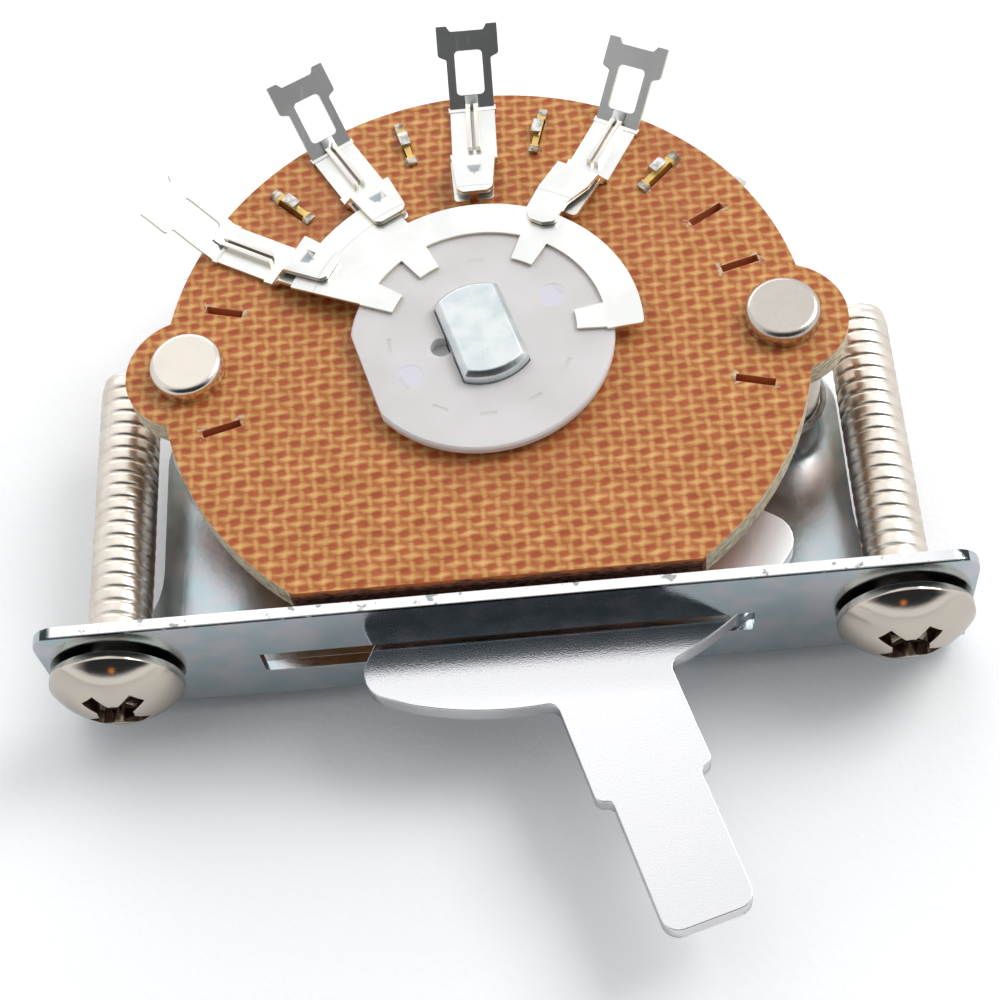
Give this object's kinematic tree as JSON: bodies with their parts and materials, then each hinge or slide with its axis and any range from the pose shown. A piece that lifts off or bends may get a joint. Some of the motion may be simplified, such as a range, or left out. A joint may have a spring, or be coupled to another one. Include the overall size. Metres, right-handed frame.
{
  "type": "guitar pickup selector switch",
  "caption": "Five-position blade pickup selector for an electric guitar: bent zinc flange and base, phenolic wafer, nylon rotor with contact rings, detent lever.",
  "frame": {"origin": "centre of the lever slot on the flange's outer face", "axes": "+X along the flange, to the right as the picture shows it; +Y from the flange's outer face into the switch, away from the lever's handle; +Z along the spindle, out of the contact wafer"},
  "size_m": [0.0484, 0.0515, 0.0143],
  "materials": {
    "zinc_sheet": "satin zinc plate",
    "lever_zinc": "grained satin zinc plate",
    "spindle_zinc": "satin zinc plate",
    "nickel": "polished nickel plate",
    "phenolic": "varnished woven laminate",
    "nylon": "translucent natural nylon",
    "silver_contact": "bright silver plate on brass",
    "spring_steel": "drawn wire"
  },
  "bodies": {
    "frame": {"frame": "zinc_sheet", "wafer": "phenolic", "left_rivet": "nickel", "right_rivet": "nickel", "left_standoff": "nickel", "right_standoff": "nickel", "thrust_washer": "spindle_zinc", "detent_spring": "spring_steel", "front_terminal_1": "silver_contact", "front_terminal_2": "silver_contact", "front_terminal_3": "silver_contact", "front_common_terminal": "silver_contact", "back_terminal_1": "silver_contact", "back_terminal_2": "silver_contact", "back_terminal_3": "silver_contact", "back_common_terminal": "silver_contact", "left_mounting_screw": "nickel", "right_mounting_screw": "nickel"},
    "lever": {"lever": "lever_zinc", "spindle": "spindle_zinc", "retaining_ring": "spring_steel", "rotor": "nylon", "front_contact_ring": "silver_contact", "back_contact_ring": "silver_contact"},
    "roller": {"detent_roller": "spring_steel"}
  },
  "joints": [
    {"name": "lever_turn", "type": "hinge", "parent": "frame", "child": "lever", "pos_m": [0, 0.015, 0], "axis": [0, 0, 1], "range_deg": [-46.5, 13.5]},
    {"name": "roller_slide", "type": "slide", "parent": "frame", "child": "roller", "axis": [0, 1, 0], "range_m": [-0.0005, 0], "stiffness_N_per_m": 500, "springref_m": -0.0025, "deforming": ["detent_spring"]}
  ]
}
